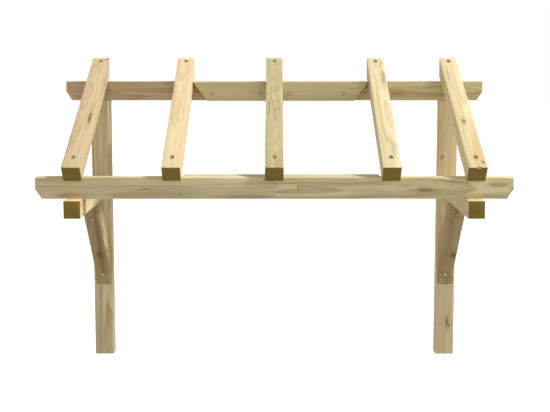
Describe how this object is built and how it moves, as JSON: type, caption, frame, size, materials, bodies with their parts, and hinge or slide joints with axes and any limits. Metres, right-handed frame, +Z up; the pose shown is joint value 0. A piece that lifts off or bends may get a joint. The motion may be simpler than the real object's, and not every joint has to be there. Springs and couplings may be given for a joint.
{
  "type": "door canopy frame",
  "caption": "Open timber frame of a lean-to canopy for a doorway: wall posts, spliced beams, braced arms and sloping rafters, ready for a roof covering.",
  "frame": {"origin": "on the back face of the rear beam, at mid height, where its two halves meet; this face lies against the wall", "axes": "+Z up, +Y into the wall, +X along the wall to the right as seen from in front"},
  "size_m": [2, 0.597, 1.4601],
  "materials": {
    "post_wood": "planed pressure-treated softwood, matt",
    "beam_wood": "planed pressure-treated softwood, matt",
    "plate_wood": "planed pressure-treated softwood, matt",
    "arm_wood": "planed pressure-treated softwood, matt",
    "brace_wood": "planed pressure-treated softwood, matt",
    "rafter_wood": "planed pressure-treated softwood, matt",
    "screw_steel": "bright zinc plate"
  },
  "bodies": {
    "root": {"post_left": "post_wood", "post_right": "post_wood", "rear_beam_left": "beam_wood", "rear_beam_right": "beam_wood", "front_beam_left": "beam_wood", "front_beam_right": "beam_wood", "rear_splice_plate": "plate_wood", "front_splice_plate": "plate_wood", "arm_left": "arm_wood", "arm_right": "arm_wood", "brace_left": "brace_wood", "brace_right": "brace_wood", "rafter_1": "rafter_wood", "rafter_2": "rafter_wood", "rafter_3": "rafter_wood", "rafter_4": "rafter_wood", "rafter_5": "rafter_wood", "rear_rafter_screws": "screw_steel", "front_rafter_screws": "screw_steel", "rear_plate_screws": "screw_steel", "front_plate_screws": "screw_steel", "brace_screws_left": "screw_steel", "brace_screws_right": "screw_steel"}
  },
  "joints": []
}
